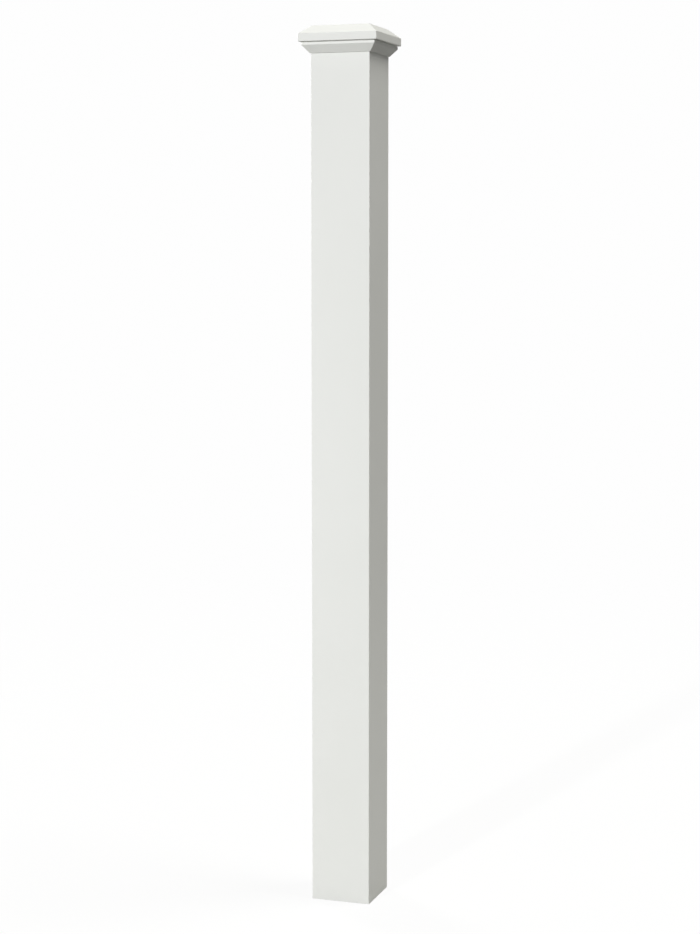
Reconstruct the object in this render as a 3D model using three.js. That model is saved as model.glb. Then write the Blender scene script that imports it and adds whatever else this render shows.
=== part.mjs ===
// A white square newel post: a hollow shaft of rigid PVC, 4 inches across and cut square at both ends,
// under a hollow moulded cap that sits over its top end.
// Millimetres, +Z up. The origin is the middle of the shaft's foot, and the front face looks along -Y.
import * as THREE from "three";

// The shaft
const shaftWidth = 101.6; // face to face, 4 inches
const shaftWall = 3.8;
const shaftShown = 1426; // from the foot to the cap's lower lip
const arrisRadius = 1; // every upright outside corner, on the shaft and on the cap
const boreCornerRadius = 2;

// The cap's outside, from its lip up. Runs are measured level and rises upright.
const lipWall = 1.2;
const chamferRun = 10.7;
const chamferRise = 12.5;
const filletRise = 5.5;
const overhang = 4.5; // the fascia's, past the fillet
const fasciaRise = 12.9;
const bevelRun = 18;
const bevelRise = 13.8;
const crownRise = 2.5; // the top's low pyramid, which sheds water
const lipEase = 0.3;
const edgeEase = 0.8;
const crownEase = 1.2;

// The cap's inside
const capWall = 2.4;
const socketCornerRadius = 1.4;
const socketClearance = 0.4; // on each side, between the shaft and the cap's lip
const seatGap = 0.3; // between the shaft's top end and the ceiling that rests on it

// How finely curves are cut
const cornerSteps = 4;
const easeSteps = 3;

// Half widths of the shaft and of the cap's upright faces
const shaftHalf = shaftWidth / 2;
const boreHalf = shaftHalf - shaftWall;
const socketHalf = shaftHalf + socketClearance;
const lipHalf = socketHalf + lipWall;
const filletHalf = lipHalf + chamferRun;
const fasciaHalf = filletHalf + overhang;
const crownHalf = fasciaHalf - bevelRun;

// Heights above the foot
const chamferTop = shaftShown + chamferRise;
const soffitZ = chamferTop + filletRise;
const fasciaTop = soffitZ + fasciaRise;
const crownFoot = fasciaTop + bevelRise;
const apexZ = crownFoot + crownRise;
const ceilingZ = crownFoot - capWall;

// The cap's inner slopes run one wall behind the outer ones.
const chamferSlope = chamferRise / chamferRun;
const bevelSlope = bevelRise / bevelRun;
const chamferWallLevel = capWall * Math.hypot(1, 1 / chamferSlope);
const bevelWallUpright = capWall * Math.hypot(1, bevelSlope);
const innerChamferZ = (half) => shaftShown + (half - lipHalf + chamferWallLevel) * chamferSlope;
const innerBevelZ = (half) => fasciaTop + (fasciaHalf - half) * bevelSlope - bevelWallUpright;

// The shaft stops under the ceiling, or under the inner bevel where that comes down over the shaft's rim.
const seatZ = Math.min(ceilingZ, innerBevelZ(socketHalf));
const shaftTop = seatZ - seatGap;

// The points round a square with rounded corners, anticlockwise from above. On the axis it is one point.
function squareRing({ half, radius, z }) {
  if (half === 0) return [new THREE.Vector3(0, 0, z)];
  const reach = half - radius;
  const ring = [];
  for (let corner = 0; corner < 4; corner++) {
    const from = (corner * Math.PI) / 2;
    for (let step = 0; step <= cornerSteps; step++) {
      const turn = (step / cornerSteps) * (Math.PI / 2);
      const point = new THREE.Vector3(reach + radius * Math.cos(turn), reach + radius * Math.sin(turn), z);
      ring.push(point.applyAxisAngle(new THREE.Vector3(0, 0, 1), from));
    }
  }
  return ring;
}

// Replaces each profile point that has an ease by an arc of that radius, which touches the lines to both
// of its neighbours.
function easeProfile(profile) {
  return profile.flatMap((point, i) => {
    if (!point.ease) return [point];
    const corner = new THREE.Vector2(point.half, point.z);
    const back = new THREE.Vector2(profile[i - 1].half, profile[i - 1].z).sub(corner).normalize();
    const ahead = new THREE.Vector2(profile[i + 1].half, profile[i + 1].z).sub(corner).normalize();
    const halfAngle = Math.acos(back.dot(ahead)) / 2;
    const centre = back.clone().add(ahead).setLength(point.ease / Math.sin(halfAngle));
    const first = back.multiplyScalar(point.ease / Math.tan(halfAngle)).sub(centre);
    const last = ahead.multiplyScalar(point.ease / Math.tan(halfAngle)).sub(centre);
    const sweep = Math.atan2(first.cross(last), first.dot(last));
    centre.add(corner);
    return Array.from({ length: easeSteps + 1 }, (_, step) => {
      const onArc = first.clone().rotateAround(new THREE.Vector2(), (sweep * step) / easeSteps).add(centre);
      return { half: onArc.x, radius: point.radius, z: onArc.y };
    });
  });
}

// Skins a profile with one square ring for each of its points. The profile starts and ends on the axis,
// or is closed, and it runs down the inside and up the outside, so that the faces point out.
function squareShell(profile, closed) {
  const rings = easeProfile(profile).map(squareRing);
  const around = 4 * (cornerSteps + 1);
  const joins = closed ? rings.length : rings.length - 1;
  const corners = [];
  for (let i = 0; i < joins; i++) {
    const ring = rings[i];
    const next = rings[(i + 1) % rings.length];
    for (let j = 0; j < around; j++) {
      const [a, b] = [ring[j % ring.length], ring[(j + 1) % ring.length]];
      const [c, d] = [next[(j + 1) % next.length], next[j % next.length]];
      if (a !== b) corners.push(a, b, c);
      if (c !== d) corners.push(a, c, d);
    }
  }
  const geometry = new THREE.BufferGeometry().setFromPoints(corners);
  geometry.computeVertexNormals();
  return geometry;
}

// The shaft is one extruded tube. The ring at the lip keeps each face that shows apart from its capped end.
function makeShaft(material) {
  const outside = { half: shaftHalf, radius: arrisRadius };
  const bore = { half: boreHalf, radius: boreCornerRadius };
  const profile = [
    { ...bore, z: shaftTop },
    { ...bore, z: 0 },
    { ...outside, z: 0 },
    { ...outside, z: shaftShown },
    { ...outside, z: shaftTop },
  ];
  const shaft = new THREE.Mesh(squareShell(profile, true), material);
  shaft.name = "shaft";
  return shaft;
}

// The cap is one moulded shell: a lip, a chamfer and a fillet under an overhanging fascia, then a bevel
// and a low crown. Its inside follows them, with a flat ceiling over the shaft.
function makeCap(material) {
  const inside = { radius: socketCornerRadius };
  const outside = { radius: arrisRadius };
  const filletInner = filletHalf - capWall;
  const fasciaInner = fasciaHalf - capWall;
  const ceilingHalf = crownHalf - (bevelWallUpright - capWall) / bevelSlope;
  const profile = [
    { half: 0, z: ceilingZ },
    { ...inside, half: ceilingHalf, z: ceilingZ },
    { ...inside, half: fasciaInner, z: innerBevelZ(fasciaInner) },
    { ...inside, half: fasciaInner, z: soffitZ + capWall },
    { ...inside, half: filletInner, z: soffitZ + capWall },
    { ...inside, half: filletInner, z: innerChamferZ(filletInner) },
    { ...inside, half: socketHalf, z: innerChamferZ(socketHalf) },
    { ...inside, half: socketHalf, z: shaftShown },
    { ...outside, half: lipHalf, z: shaftShown, ease: lipEase },
    { ...outside, half: filletHalf, z: chamferTop, ease: edgeEase },
    { ...outside, half: filletHalf, z: soffitZ },
    { ...outside, half: fasciaHalf, z: soffitZ, ease: edgeEase },
    { ...outside, half: fasciaHalf, z: fasciaTop, ease: edgeEase },
    { ...outside, half: crownHalf, z: crownFoot, ease: crownEase },
    { half: 0, z: apexZ },
  ];
  const cap = new THREE.Mesh(squareShell(profile, false), material);
  cap.name = "cap";
  return cap;
}

const whitePvc = new THREE.MeshStandardMaterial({ color: 0xf0f0ee, roughness: 0.45, metalness: 0 });

const newelPost = new THREE.Group();
newelPost.add(makeShaft(whitePvc), makeCap(whitePvc.clone()));

export default newelPost;
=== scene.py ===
"""A white PVC newel post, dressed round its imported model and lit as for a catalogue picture.

Metres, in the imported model's frame: +Z up the shaft, the front face looking along -Y.
"""

import logging
import math
from dataclasses import dataclass, field
from enum import Enum

import bpy
from mathutils import Euler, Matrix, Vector


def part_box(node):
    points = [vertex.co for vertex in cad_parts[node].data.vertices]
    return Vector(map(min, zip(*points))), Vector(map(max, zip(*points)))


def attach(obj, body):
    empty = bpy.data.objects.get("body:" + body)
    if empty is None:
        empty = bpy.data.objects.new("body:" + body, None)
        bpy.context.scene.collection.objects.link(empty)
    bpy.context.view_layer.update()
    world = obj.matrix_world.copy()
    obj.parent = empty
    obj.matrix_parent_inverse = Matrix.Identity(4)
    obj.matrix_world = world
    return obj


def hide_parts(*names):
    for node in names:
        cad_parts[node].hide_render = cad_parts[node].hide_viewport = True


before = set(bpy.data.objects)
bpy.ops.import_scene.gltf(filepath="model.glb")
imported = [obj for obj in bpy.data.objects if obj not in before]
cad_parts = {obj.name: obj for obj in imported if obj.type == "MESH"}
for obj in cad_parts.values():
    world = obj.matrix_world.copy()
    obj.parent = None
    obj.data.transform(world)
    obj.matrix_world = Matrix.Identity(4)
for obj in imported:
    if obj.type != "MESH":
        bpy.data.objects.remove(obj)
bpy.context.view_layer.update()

log = logging.getLogger("newel_post")

MM = 0.001


def linear_colour(srgb_hex: str) -> tuple[float, float, float, float]:
    """Turns an sRGB hex colour into the linear colour that Blender's sockets hold.

    Args:
        srgb_hex: Six hex digits, with or without a leading #.

    Returns:
        Red, green, blue and an alpha of 1.
    """
    digits = srgb_hex.lstrip("#")
    parts = [int(digits[i : i + 2], 16) / 255 for i in (0, 2, 4)]
    linear = [p / 12.92 if p <= 0.04045 else ((p + 0.055) / 1.055) ** 2.4 for p in parts]
    return (*linear, 1.0)


def add_node(
    tree: bpy.types.NodeTree, kind: str, inputs: dict[int | str, object] | None = None, **settings: object
) -> bpy.types.Node:
    """Adds a node to a tree, with its settings made and its inputs linked or set.

    Args:
        tree: The tree to add to.
        kind: The node's type name.
        inputs: For each input socket, by name or number, the socket that feeds it or its value.
        **settings: The node's own properties.

    Returns:
        The new node.
    """
    node = tree.nodes.new(kind)
    for name, value in settings.items():
        setattr(node, name, value)
    for key, value in (inputs or {}).items():
        if isinstance(value, bpy.types.NodeSocket):
            tree.links.new(value, node.inputs[key])
        else:
            node.inputs[key].default_value = value
    return node


class SurfaceMark(Enum):
    """What the making of a plastic surface leaves on it."""

    DRAW_LINES = "lines along the length, from the extruder's die"
    SPARK_TEXTURE = "an even fine texture, from a spark-eroded mould"


@dataclass(frozen=True)
class PvcFinish:
    """Rigid PVC coloured through with titanium white: a dense, slightly warm white with a satin skin.

    Its marks are far finer than a pixel of the picture, so they are drawn coarser, and faint.
    """

    name: str
    mark: SurfaceMark
    mark_pitch_mm: float
    mark_depth_mm: float
    roughness: float
    roughness_spread: float = 0.05
    light_hex: str = "#F3F3EF"
    dark_hex: str = "#F0F0EB"
    cloud_mm: float = 140.0
    line_stretch: float = 400.0
    ior: float = 1.54

    def material(self) -> bpy.types.Material:
        """Builds the finish as a node material.

        Returns:
            The material.
        """
        material = bpy.data.materials.new(self.name)
        material.use_nodes = True
        tree = material.node_tree
        tree.nodes.clear()
        place = add_node(tree, "ShaderNodeTexCoord").outputs["Object"]
        clouds = add_node(tree, "ShaderNodeTexNoise", {
            "Vector": place, "Scale": 1 / (self.cloud_mm * MM), "Detail": 2.0,
        })
        tint = add_node(tree, "ShaderNodeMix", {
            0: clouds.outputs["Fac"],
            6: linear_colour(self.dark_hex),
            7: linear_colour(self.light_hex),
        }, data_type="RGBA")
        sheen_map = add_node(tree, "ShaderNodeMapRange", {
            "Value": clouds.outputs["Fac"],
            "To Min": self.roughness - self.roughness_spread,
            "To Max": self.roughness + self.roughness_spread,
        })
        relief = add_node(tree, "ShaderNodeBump", {
            "Height": self._mark_height(tree, place),
            "Strength": 1.0,
            "Distance": self.mark_depth_mm * MM,
        })
        pvc = add_node(tree, "ShaderNodeBsdfPrincipled", {
            "Base Color": tint.outputs[2],
            "Roughness": sheen_map.outputs["Result"],
            "Normal": relief.outputs["Normal"],
            "IOR": self.ior,
        })
        add_node(tree, "ShaderNodeOutputMaterial", {"Surface": pvc.outputs["BSDF"]})
        return material

    def _mark_height(self, tree: bpy.types.NodeTree, place: bpy.types.NodeSocket) -> bpy.types.NodeSocket:
        """Draws the height of the mark that the making left. A draw line is longer than the shaft.

        Args:
            tree: The material's tree.
            place: The object coordinates, in metres.

        Returns:
            A height from 0 to 1.
        """
        per_metre = 1 / (self.mark_pitch_mm * MM)
        along = per_metre / self.line_stretch if self.mark is SurfaceMark.DRAW_LINES else per_metre
        stretched = add_node(tree, "ShaderNodeMapping", {
            "Vector": place, "Scale": (per_metre, per_metre, along),
        })
        height = add_node(tree, "ShaderNodeTexNoise", {
            "Vector": stretched.outputs["Vector"], "Scale": 1.0, "Detail": 1.0,
        })
        return height.outputs["Fac"]


@dataclass(frozen=True)
class ProfilePoint:
    """One corner of a profile that is turned square.

    It says how far out and how high the corner is, its radius in plan, and the ease of its own edge.
    """

    half: float
    z: float
    corner: float = 0.0
    ease: float = 0.0


@dataclass
class SquareTurner:
    """Skins a profile with square, round-cornered rings, as a lathe does with circles.

    One Geometry Nodes tree does it for every piece.
    """

    corner_steps: int = 6
    ease_steps: int = 4
    weld: float = 0.002 * MM
    tree: bpy.types.NodeTree = field(init=False)

    def __post_init__(self) -> None:
        """Builds the tree that every piece shares."""
        self.tree = self._build_tree()

    def turn(
        self, name: str, profile: list[ProfilePoint], material: bpy.types.Material
    ) -> bpy.types.Object:
        """Makes one closed piece out of a profile.

        Args:
            name: The new object's name.
            profile: The points down the inside and up the outside, from the axis to the axis, or from a
                point back to itself.
            material: What the piece is made of.

        Returns:
            A plain mesh object at the origin.
        """
        outline = bpy.data.meshes.new(f"{name}_profile")
        edges = [(i, i + 1) for i in range(len(profile) - 1)]
        outline.from_pydata([(point.half, 0.0, point.z) for point in profile], edges, [])
        for attribute in ("corner", "ease"):
            layer = outline.attributes.new(attribute, "FLOAT", "POINT")
            layer.data.foreach_set("value", [getattr(point, attribute) for point in profile])
        piece = bpy.data.objects.new(name, outline)
        bpy.context.scene.collection.objects.link(piece)
        turning = piece.modifiers.new("turning", "NODES")
        turning.node_group = self.tree
        values = {
            "Corner Steps": self.corner_steps,
            "Ease Steps": self.ease_steps,
            "Weld": self.weld,
            "Material": material,
        }
        for item in self.tree.interface.items_tree:
            if item.name in values:
                turning[item.identifier] = values[item.name]
        skin = bpy.data.meshes.new_from_object(piece.evaluated_get(bpy.context.evaluated_depsgraph_get()))
        piece.modifiers.remove(turning)
        piece.data = skin
        bpy.data.meshes.remove(outline)
        skin.name = name
        # The wide faces set the normals: they stay flat, and only the rounded edges shade round.
        flats = piece.modifiers.new("flat_faces", "WEIGHTED_NORMAL")
        flats.weight = 100
        return piece

    def _build_tree(self) -> bpy.types.NodeTree:
        """Builds the Geometry Nodes tree.

        Returns:
            The tree, whose inputs are the profile, the step counts, the weld distance and the material.
        """
        tree = bpy.data.node_groups.new("square_turning", "GeometryNodeTree")
        for label, kind in (
            ("Profile", "NodeSocketGeometry"),
            ("Corner Steps", "NodeSocketInt"),
            ("Ease Steps", "NodeSocketInt"),
            ("Weld", "NodeSocketFloat"),
            ("Material", "NodeSocketMaterial"),
        ):
            tree.interface.new_socket(label, in_out="INPUT", socket_type=kind)
        tree.interface.new_socket("Shell", in_out="OUTPUT", socket_type="NodeSocketGeometry")
        given = add_node(tree, "NodeGroupInput").outputs

        # The profile as a curve, its edges eased
        curve = add_node(tree, "GeometryNodeMeshToCurve", {"Mesh": given["Profile"]})
        ease = add_node(tree, "GeometryNodeInputNamedAttribute", {"Name": "ease"}, data_type="FLOAT")
        eased = add_node(tree, "GeometryNodeFilletCurve", {
            "Curve": curve.outputs["Curve"],
            "Count": given["Ease Steps"],
            "Radius": ease.outputs["Attribute"],
            "Limit Radius": True,
        }, mode="POLY").outputs["Curve"]
        count = add_node(tree, "GeometryNodeAttributeDomainSize", {"Geometry": eased}, component="CURVE")

        # A grid with one row for each profile point, and one column for each point round the square
        per_corner = add_node(tree, "FunctionNodeIntegerMath", {
            0: given["Corner Steps"], 1: 1,
        }, operation="ADD").outputs[0]
        around = add_node(tree, "FunctionNodeIntegerMath", {
            0: per_corner, 1: 4, 2: 1,
        }, operation="MULTIPLY_ADD").outputs[0]
        grid = add_node(tree, "GeometryNodeMeshGrid", {
            "Vertices X": count.outputs["Point Count"], "Vertices Y": around,
        })
        index = add_node(tree, "GeometryNodeInputIndex").outputs["Index"]
        row = add_node(tree, "FunctionNodeIntegerMath", {0: index, 1: around}, operation="DIVIDE_FLOOR")
        column = add_node(tree, "FunctionNodeIntegerMath", {0: index, 1: around}, operation="MODULO")

        # What the profile says for this row
        place = add_node(tree, "GeometryNodeInputPosition")
        sampled_place = add_node(tree, "GeometryNodeSampleIndex", {
            "Geometry": eased, "Value": place.outputs["Position"], "Index": row.outputs[0],
        }, data_type="FLOAT_VECTOR", domain="POINT")
        out_and_up = add_node(tree, "ShaderNodeSeparateXYZ", {0: sampled_place.outputs["Value"]})
        corner = add_node(tree, "GeometryNodeInputNamedAttribute", {"Name": "corner"}, data_type="FLOAT")
        sampled_corner = add_node(tree, "GeometryNodeSampleIndex", {
            "Geometry": eased, "Value": corner.outputs["Attribute"], "Index": row.outputs[0],
        }, data_type="FLOAT", domain="POINT")
        radius = add_node(tree, "ShaderNodeMath", {
            0: sampled_corner.outputs["Value"], 1: out_and_up.outputs["X"],
        }, operation="MINIMUM").outputs[0]
        inset = add_node(tree, "ShaderNodeMath", {
            0: out_and_up.outputs["X"], 1: radius,
        }, operation="SUBTRACT").outputs[0]
        reach = add_node(tree, "ShaderNodeMath", {
            0: inset, 1: math.sqrt(2),
        }, operation="MULTIPLY").outputs[0]

        # Where this column stands round the square: which corner, and how far round that corner's arc
        turned = add_node(tree, "FunctionNodeIntegerMath", {
            0: column.outputs[0], 1: per_corner,
        }, operation="DIVIDE_FLOOR").outputs[0]
        step = add_node(tree, "FunctionNodeIntegerMath", {
            0: column.outputs[0], 1: per_corner,
        }, operation="MODULO").outputs[0]
        share = add_node(tree, "ShaderNodeMath", {0: step, 1: given["Corner Steps"]}, operation="DIVIDE")
        quarters = add_node(tree, "ShaderNodeMath", {0: turned, 1: share.outputs[0]}, operation="ADD")
        arc_angle = add_node(tree, "ShaderNodeMath", {
            0: quarters.outputs[0], 1: math.pi / 2,
        }, operation="MULTIPLY").outputs[0]
        corner_angle = add_node(tree, "ShaderNodeMath", {
            0: turned, 1: math.pi / 2, 2: math.pi / 4,
        }, operation="MULTIPLY_ADD").outputs[0]
        sides = {}
        for axis, operation in (("X", "COSINE"), ("Y", "SINE")):
            on_arc = add_node(tree, "ShaderNodeMath", {0: arc_angle}, operation=operation).outputs[0]
            to_corner = add_node(tree, "ShaderNodeMath", {0: corner_angle}, operation=operation).outputs[0]
            arc = add_node(tree, "ShaderNodeMath", {0: on_arc, 1: radius}, operation="MULTIPLY").outputs[0]
            sides[axis] = add_node(tree, "ShaderNodeMath", {
                0: to_corner, 1: reach, 2: arc,
            }, operation="MULTIPLY_ADD").outputs[0]
        position = add_node(tree, "ShaderNodeCombineXYZ", {**sides, "Z": out_and_up.outputs["Z"]})

        # The skin, closed round the square and at the axis
        skin = add_node(tree, "GeometryNodeSetPosition", {
            "Geometry": grid.outputs["Mesh"], "Position": position.outputs["Vector"],
        })
        closed = add_node(tree, "GeometryNodeMergeByDistance", {
            "Geometry": skin.outputs["Geometry"], "Distance": given["Weld"],
        })
        outward = add_node(tree, "GeometryNodeFlipFaces", {"Mesh": closed.outputs["Geometry"]})
        smooth = add_node(tree, "GeometryNodeSetShadeSmooth", {"Geometry": outward.outputs["Mesh"]})
        real = add_node(tree, "GeometryNodeRealizeInstances", {"Geometry": smooth.outputs["Geometry"]})
        dressed = add_node(tree, "GeometryNodeSetMaterial", {
            "Geometry": real.outputs["Geometry"], "Material": given["Material"],
        })
        add_node(tree, "NodeGroupOutput", {"Shell": dressed.outputs["Geometry"]})
        return tree


# The skin that the die leaves is smooth and satin. Long shallow draw lines break the soft highlights into
# faint streaks that run up the shaft. Real ones are under a millimetre apart, which is less than a pixel;
# at 5 mm they are three pixels apart and just show.
EXTRUDED_PVC = PvcFinish(
    name="extruded_rigid_pvc",
    mark=SurfaceMark.DRAW_LINES,
    mark_pitch_mm=5.0,
    mark_depth_mm=0.01,
    roughness=0.42,
)

# The mould's fine spark texture makes the cap a little duller than the shaft, and alike in all
# directions. Its real grain is about 0.05 mm, and at 2 mm it is a little over a pixel.
MOULDED_PVC = PvcFinish(
    name="moulded_rigid_pvc",
    mark=SurfaceMark.SPARK_TEXTURE,
    mark_pitch_mm=2.0,
    mark_depth_mm=0.01,
    roughness=0.48,
)


@dataclass
class Shaft:
    """The hollow square shaft, drawn through a die and sawn square at both ends."""

    wall: float = 3.8 * MM
    arris: float = 1.0 * MM
    bore_corner: float = 2.0 * MM
    sawn_edge: float = 0.15 * MM
    finish: PvcFinish = EXTRUDED_PVC

    def build(self, turner: SquareTurner) -> bpy.types.Object:
        """Makes the shaft in the place of its node.

        Args:
            turner: What skins its profile.

        Returns:
            The shaft.
        """
        low, high = (Vector(corner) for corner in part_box("shaft"))
        half = high.x
        bore = half - self.wall
        outside = {"corner": self.arris, "ease": self.sawn_edge}
        inside = {"corner": self.bore_corner, "ease": self.sawn_edge}
        # It starts and ends at the bore's upper edge, hidden in the cap, since a curve's ends stay uneased.
        profile = [
            ProfilePoint(bore, high.z, corner=self.bore_corner),
            ProfilePoint(bore, low.z, **inside),
            ProfilePoint(half, low.z, **outside),
            ProfilePoint(half, high.z, **outside),
            ProfilePoint(bore, high.z, corner=self.bore_corner),
        ]
        shaft = turner.turn("drawn_shaft", profile, self.finish.material())
        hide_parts("shaft")
        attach(shaft, "root")
        return shaft


@dataclass
class Cap:
    """The hollow moulded cap. Its profile is measured inwards and upwards from its node's box.

    A quirk, the narrow groove beside a moulding, draws a dark line under the fascia.
    """

    wall: float = 2.4 * MM
    socket_clearance: float = 0.4 * MM
    socket_corner: float = 1.4 * MM
    arris: float = 1.0 * MM
    lip_wall: float = 1.2 * MM
    lip_ease: float = 0.3 * MM
    chamfer_rise: float = 12.5 * MM
    chamfer_ease: float = 0.8 * MM
    fillet_rise: float = 5.5 * MM
    quirk_rise: float = 1.2 * MM
    quirk_depth: float = 1.5 * MM
    quirk_edge: float = 0.2 * MM
    overhang: float = 4.5 * MM
    fascia_rise: float = 12.9 * MM
    fascia_ease: float = 0.8 * MM
    bevel_run: float = 18.0 * MM
    bevel_rise: float = 13.8 * MM
    crown_ease: float = 1.2 * MM
    finish: PvcFinish = MOULDED_PVC

    def build(self, turner: SquareTurner) -> bpy.types.Object:
        """Makes the cap in the place of its node.

        Args:
            turner: What skins its profile.

        Returns:
            The cap.
        """
        cap = turner.turn("moulded_cap", self._inside() + self._outside(), self.finish.material())
        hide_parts("cap")
        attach(cap, "root")
        return cap

    @property
    def lip_z(self) -> float:
        """How high the lip is."""
        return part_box("cap")[0][2]

    @property
    def fascia_half(self) -> float:
        """Half the fascia's width, which is the cap's."""
        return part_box("cap")[1][0]

    @property
    def fillet_half(self) -> float:
        """Half the fillet's width."""
        return self.fascia_half - self.overhang

    @property
    def socket_half(self) -> float:
        """Half the width of the socket over the shaft."""
        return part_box("shaft")[1][0] + self.socket_clearance

    @property
    def lip_half(self) -> float:
        """Half the lip's outside width."""
        return self.socket_half + self.lip_wall

    @property
    def soffit_z(self) -> float:
        """How high the underside of the fascia is."""
        return self.lip_z + self.chamfer_rise + self.fillet_rise

    @property
    def fascia_top(self) -> float:
        """How high the fascia's upper edge is."""
        return self.soffit_z + self.fascia_rise

    def _outside(self) -> list[ProfilePoint]:
        """Draws what shows, from the lip up to the middle of the crown.

        Returns:
            The points of the outer profile.
        """
        chamfer_top = self.lip_z + self.chamfer_rise
        quirk_z = self.soffit_z - self.quirk_rise
        quirk_half = self.fillet_half - self.quirk_depth
        crown_half = self.fascia_half - self.bevel_run
        crown_foot = self.fascia_top + self.bevel_rise
        return [
            ProfilePoint(self.lip_half, self.lip_z, self.arris, self.lip_ease),
            ProfilePoint(self.fillet_half, chamfer_top, self.arris, self.chamfer_ease),
            ProfilePoint(self.fillet_half, quirk_z, self.arris, self.quirk_edge),
            ProfilePoint(quirk_half, quirk_z, self.arris),
            ProfilePoint(quirk_half, self.soffit_z, self.arris),
            ProfilePoint(self.fascia_half, self.soffit_z, self.arris, self.fascia_ease),
            ProfilePoint(self.fascia_half, self.fascia_top, self.arris, self.fascia_ease),
            ProfilePoint(crown_half, crown_foot, self.arris, self.crown_ease),
            ProfilePoint(0.0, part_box("cap")[1][2]),
        ]

    def _inside(self) -> list[ProfilePoint]:
        """Draws the hollow, from the middle of the ceiling down to the socket's mouth, one wall behind.

        Returns:
            The points of the inner profile.
        """
        chamfer_slope = self.chamfer_rise / (self.fillet_half - self.lip_half)
        bevel_slope = self.bevel_rise / self.bevel_run
        chamfer_back = self.wall * math.hypot(1, 1 / chamfer_slope)
        bevel_drop = self.wall * math.hypot(1, bevel_slope)
        fillet_inner = self.fillet_half - self.wall
        fascia_inner = self.fascia_half - self.wall
        ceiling_z = self.fascia_top + self.bevel_rise - self.wall
        ceiling_half = self.fascia_half - self.bevel_run - (bevel_drop - self.wall) / bevel_slope
        bevel_foot = self.fascia_top + self.wall * bevel_slope - bevel_drop
        flare_top = self.lip_z + (fillet_inner - self.lip_half + chamfer_back) * chamfer_slope
        flare_foot = self.lip_z + (chamfer_back - self.lip_wall) * chamfer_slope
        return [
            ProfilePoint(0.0, ceiling_z),
            ProfilePoint(ceiling_half, ceiling_z, self.socket_corner),
            ProfilePoint(fascia_inner, bevel_foot, self.socket_corner),
            ProfilePoint(fascia_inner, self.soffit_z + self.wall, self.socket_corner),
            ProfilePoint(fillet_inner, self.soffit_z + self.wall, self.socket_corner),
            ProfilePoint(fillet_inner, flare_top, self.socket_corner),
            ProfilePoint(self.socket_half, flare_foot, self.socket_corner),
            ProfilePoint(self.socket_half, self.lip_z, self.socket_corner),
        ]


@dataclass
class Floor:
    """A sheet of white acrylic, lit from below, that fades out towards its rim so no horizon shows.

    It throws back less light than it seems to, as a floor does that is screened off around the object.
    """

    radius: float = 9.0
    solid_radius: float = 1.0
    fade_radius: float = 3.6
    sides: int = 96
    paint_hex: str = "#F6F6F5"
    bounce_hex: str = "#979795"
    glow: float = 1.0
    glow_share: float = 0.9

    def build(self) -> bpy.types.Object:
        """Makes the floor under the post's foot.

        Returns:
            The floor.
        """
        mesh = bpy.data.meshes.new("floor")
        angles = [2 * math.pi * i / self.sides for i in range(self.sides)]
        rim = [(self.radius * math.cos(a), self.radius * math.sin(a), 0.0) for a in angles]
        mesh.from_pydata(rim, [], [range(self.sides)])
        mesh.materials.append(self._acrylic())
        floor = bpy.data.objects.new("floor", mesh)
        bpy.context.scene.collection.objects.link(floor)
        return floor

    def _acrylic(self) -> bpy.types.Material:
        """Builds the floor's material, which is see-through at the rim.

        Returns:
            The material.
        """
        material = bpy.data.materials.new("lit_white_acrylic")
        material.use_nodes = True
        tree = material.node_tree
        tree.nodes.clear()
        place = add_node(tree, "ShaderNodeTexCoord").outputs["Object"]
        far = add_node(tree, "ShaderNodeVectorMath", {0: place}, operation="LENGTH").outputs["Value"]
        fade = add_node(tree, "ShaderNodeMapRange", {
            "Value": far, "From Min": self.solid_radius, "From Max": self.fade_radius,
        }, interpolation_type="SMOOTHSTEP").outputs["Result"]
        paint = add_node(tree, "ShaderNodeBsdfDiffuse", {"Color": linear_colour(self.paint_hex)})
        glow = add_node(tree, "ShaderNodeEmission", {"Strength": self.glow})
        seen = add_node(tree, "ShaderNodeMixShader", {
            0: self.glow_share, 1: paint.outputs["BSDF"], 2: glow.outputs["Emission"],
        })
        thrown_back = add_node(tree, "ShaderNodeBsdfDiffuse", {"Color": linear_colour(self.bounce_hex)})
        path = add_node(tree, "ShaderNodeLightPath")
        sheet = add_node(tree, "ShaderNodeMixShader", {
            0: path.outputs["Is Camera Ray"], 1: thrown_back.outputs["BSDF"], 2: seen.outputs["Shader"],
        })
        clear = add_node(tree, "ShaderNodeBsdfTransparent")
        faded = add_node(tree, "ShaderNodeMixShader", {
            0: fade, 1: sheet.outputs["Shader"], 2: clear.outputs["BSDF"],
        })
        add_node(tree, "ShaderNodeOutputMaterial", {"Surface": faded.outputs["Shader"]})
        return material


# The linear colours of the lamps: those in front are a trace bluer than those at the side.
COOL_WHITE = (0.985, 1.0, 1.01)
WARM_WHITE = (1.0, 1.0, 0.965)


@dataclass(frozen=True)
class Softbox:
    """A square studio light that faces the cap. Azimuth 0 is straight in front, and grows to the right."""

    name: str
    azimuth_deg: float
    elevation_deg: float
    watts: float
    side: float
    colour: tuple[float, float, float]
    distance: float = 12.0

    def build(self, aim: Vector) -> bpy.types.Object:
        """Sets the light up.

        Args:
            aim: The point it faces.

        Returns:
            The light.
        """
        lamp = bpy.data.lights.new(self.name, "AREA")
        lamp.shape = "SQUARE"
        lamp.size = self.side
        lamp.energy = self.watts
        lamp.color = self.colour
        azimuth = math.radians(self.azimuth_deg)
        elevation = math.radians(self.elevation_deg)
        level = self.distance * math.cos(elevation)
        rise = self.distance * math.sin(elevation)
        towards = Vector((level * math.sin(azimuth), -level * math.cos(azimuth), rise))
        light = bpy.data.objects.new(self.name, lamp)
        light.location = aim + towards
        light.rotation_euler = towards.to_track_quat("Z", "Y").to_euler()
        bpy.context.scene.collection.objects.link(light)
        return light


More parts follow.
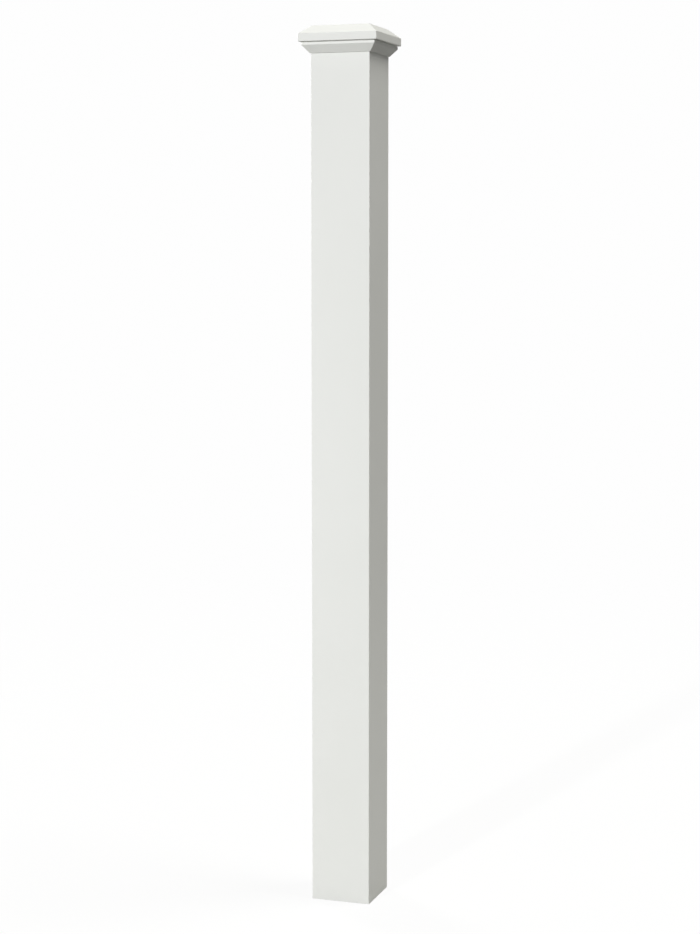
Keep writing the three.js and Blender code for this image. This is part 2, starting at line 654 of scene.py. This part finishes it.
@dataclass
class Studio:
    """The lights and the white surroundings."""

    surround_hex: str = "#FFFFFF"
    sky_strength: float = 0.1
    backdrop_level: float = 0.99
    softboxes: tuple[Softbox, ...] = (
        # Far off and small, so the front is even from top to foot and the cap's shadow lines are crisp
        Softbox("key", -10.0, 20.0, 4800.0, side=1.25, distance=30.0, colour=COOL_WHITE),
        # Near and low, for the chamfer and the fascia's underside
        Softbox("low_left", -34.0, -13.0, 60.0, side=0.8, distance=5.0, colour=COOL_WHITE),
        # Over the right side, for the bevel and the right faces
        Softbox("top_right", 102.0, 63.0, 1120.0, side=5.6, colour=WARM_WHITE),
        Softbox("low_right", 100.0, 10.0, 55.0, side=3.0, colour=WARM_WHITE),
        # Behind, so the two sides that face away from the camera aren't dull
        Softbox("back_left", 230.0, 10.0, 950.0, side=3.0, colour=WARM_WHITE),
    )

    def build(self, aim: Vector) -> None:
        """Sets up the sky and every softbox.

        Args:
            aim: The point that the softboxes face.
        """
        self._sky()
        for softbox in self.softboxes:
            softbox.build(aim)
            log.info("light %s", softbox.name)
        bpy.context.scene.view_settings.view_transform = "Standard"

    def _sky(self) -> None:
        """Makes an even white surround, faint as a light and plain white as a backdrop to the camera."""
        world = bpy.data.worlds.new("studio")
        world.use_nodes = True
        tree = world.node_tree
        tree.nodes.clear()
        white = linear_colour(self.surround_hex)
        sky = add_node(tree, "ShaderNodeBackground", {"Color": white, "Strength": self.sky_strength})
        backdrop = add_node(tree, "ShaderNodeBackground", {
            "Color": white, "Strength": self.backdrop_level,
        })
        path = add_node(tree, "ShaderNodeLightPath")
        seen = add_node(tree, "ShaderNodeMixShader", {
            0: path.outputs["Is Camera Ray"],
            1: sky.outputs["Background"],
            2: backdrop.outputs["Background"],
        })
        add_node(tree, "ShaderNodeOutputWorld", {"Surface": seen.outputs["Shader"]})
        bpy.context.scene.world = world


@dataclass
class PhotoCamera:
    """The photograph's camera, as fitted to the post's corners."""

    frame_height_px: int = 934
    focal_px: float = 2043.4
    film_height_mm: float = 36.0
    distance: float = 3.4366
    sidestep: float = 0.0002
    height: float = 1.1033
    turn_deg: float = 18.732
    pitch_down_deg: float = 6.035

    def build(self) -> bpy.types.Object:
        """Sets the camera up, and makes it the scene's.

        Returns:
            The camera.
        """
        lens = bpy.data.cameras.new("camera")
        lens.sensor_fit = "VERTICAL"
        lens.sensor_height = self.film_height_mm
        lens.lens = self.focal_px / self.frame_height_px * self.film_height_mm
        turn = math.radians(self.turn_deg)
        heading = Vector((-math.sin(turn), math.cos(turn), 0.0))
        rightwards = Vector((math.cos(turn), math.sin(turn), 0.0))
        camera = bpy.data.objects.new("camera", lens)
        camera.location = -self.distance * heading - self.sidestep * rightwards
        camera.location.z = self.height
        camera.rotation_euler = Euler((math.radians(90.0 - self.pitch_down_deg), 0.0, turn))
        bpy.context.scene.collection.objects.link(camera)
        bpy.context.scene.camera = camera
        return camera


def main() -> None:
    """Builds the camera, the post, the floor and the lights."""
    logging.basicConfig(level=logging.INFO, format="%(name)s: %(message)s")
    PhotoCamera().build()
    turner = SquareTurner()
    for part in (Shaft(), Cap()):
        piece = part.build(turner)
        log.info("piece %s, %d faces", piece.name, len(piece.data.polygons))
    Floor().build()
    Studio().build(sum(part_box("cap"), Vector()) / 2)


if __name__ == "__main__":
    main()
